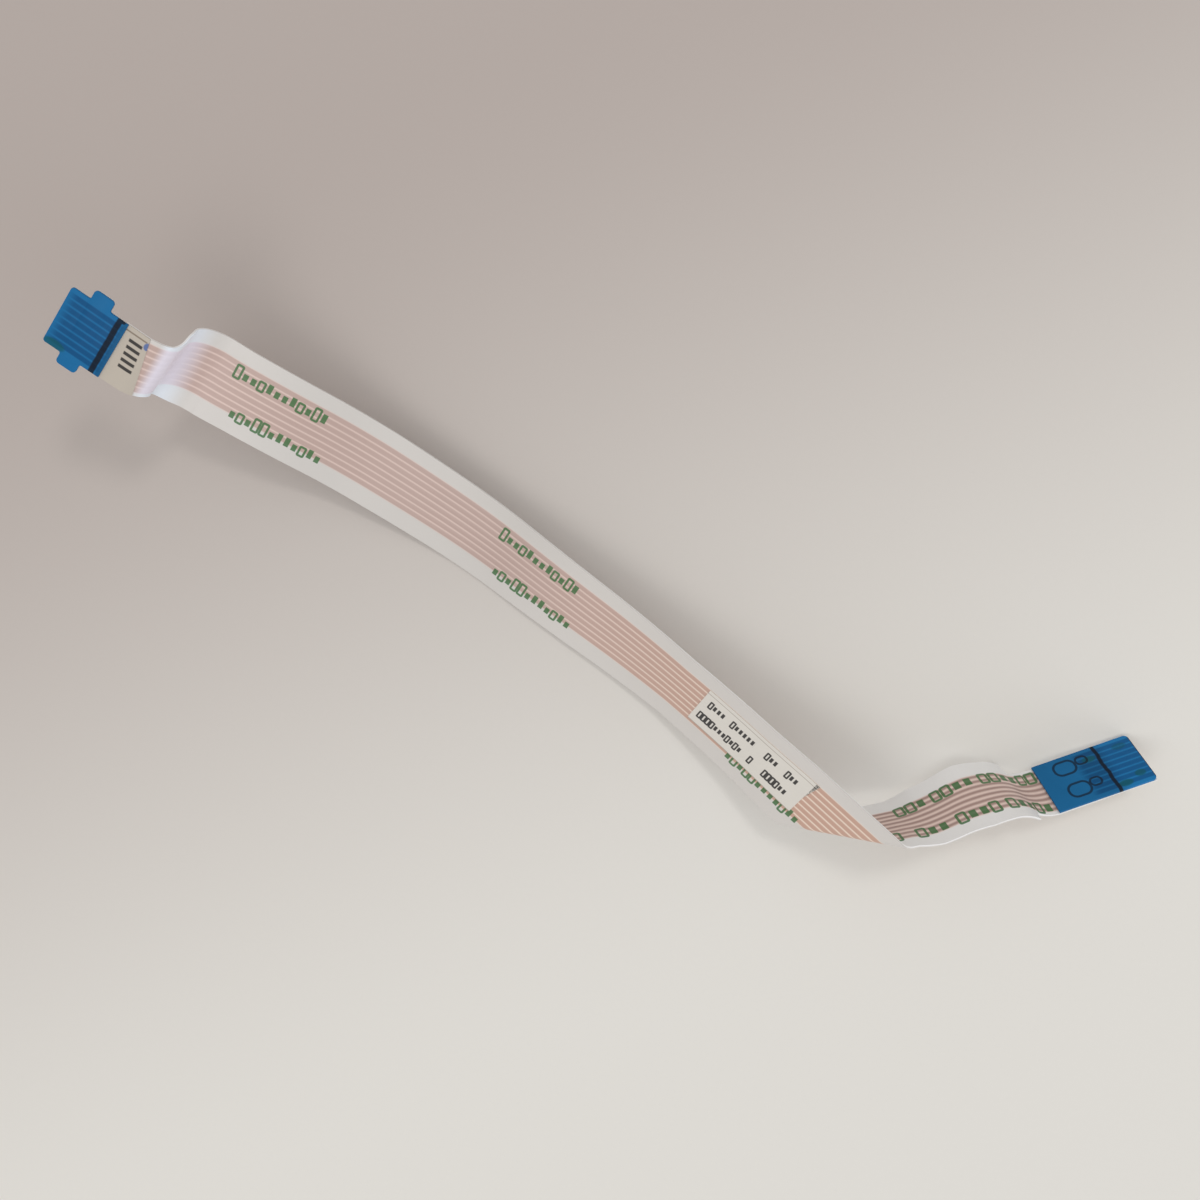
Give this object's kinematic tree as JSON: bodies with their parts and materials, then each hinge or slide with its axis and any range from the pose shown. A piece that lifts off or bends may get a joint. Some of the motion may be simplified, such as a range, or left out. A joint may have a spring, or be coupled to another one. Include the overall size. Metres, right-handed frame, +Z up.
{
  "type": "flat flex cable",
  "caption": "White flat flex cable with copper conductors between films, a slanted fold, blue end stiffeners and paper labels",
  "frame": {"origin": "on the table, under the middle of the cable's bounding box", "axes": "+X runs from the eared end towards the plain end, +Y points to the side on which the eared end lies, +Z is up"},
  "size_m": [0.0798, 0.04, 0.0141],
  "materials": {
    "film": "thin white polyester film over copper, satin",
    "copper": "flat copper, tinned where it is bare",
    "stiffener": "blue polyester film, slightly translucent",
    "cream_paper": "cream tape",
    "white_paper": "white sticker"
  },
  "bodies": {
    "root": {"top_film": "film", "bottom_film": "film", "conductor_1": "copper", "conductor_2": "copper", "conductor_3": "copper", "conductor_4": "copper", "conductor_5": "copper", "conductor_6": "copper", "conductor_7": "copper", "conductor_8": "copper", "eared_stiffener": "stiffener", "plain_stiffener": "stiffener", "cream_label": "cream_paper", "part_label": "white_paper"}
  },
  "joints": []
}
